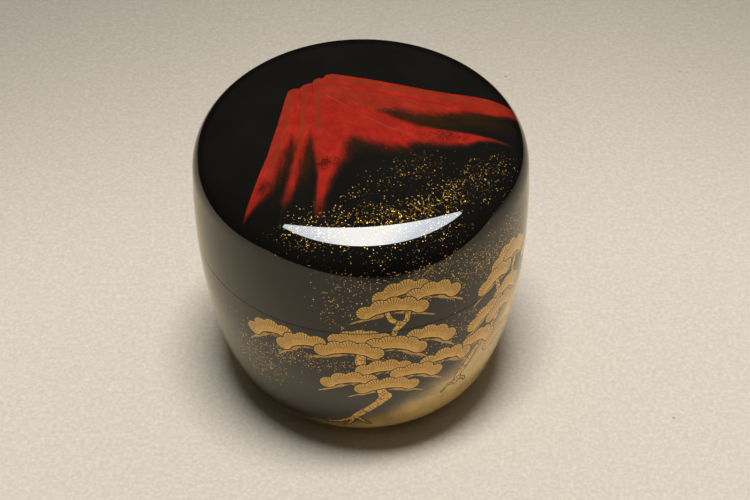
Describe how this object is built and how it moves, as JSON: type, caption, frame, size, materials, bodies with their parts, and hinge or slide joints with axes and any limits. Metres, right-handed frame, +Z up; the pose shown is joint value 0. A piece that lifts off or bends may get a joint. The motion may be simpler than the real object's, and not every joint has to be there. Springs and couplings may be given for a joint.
{
  "type": "lacquer tea caddy",
  "caption": "Round lacquered wooden tea caddy with a hollow body and a domed lid that slides over a standing inner rim.",
  "frame": {"origin": "middle of the underside, in the plane of the ring that the caddy stands on", "axes": "+Z up along the axis of the turned form, -Y towards the front of the picture, +X to its right"},
  "size_m": [0.066, 0.066, 0.0645],
  "materials": {
    "body_lacquer": "polished black lacquer over turned wood, with pines and mist in sprinkled gold",
    "lid_lacquer": "polished black lacquer over turned wood, with a vermilion mountain and sprinkled gold"
  },
  "bodies": {
    "root": {"body": "body_lacquer", "lid": "lid_lacquer"}
  },
  "joints": []
}
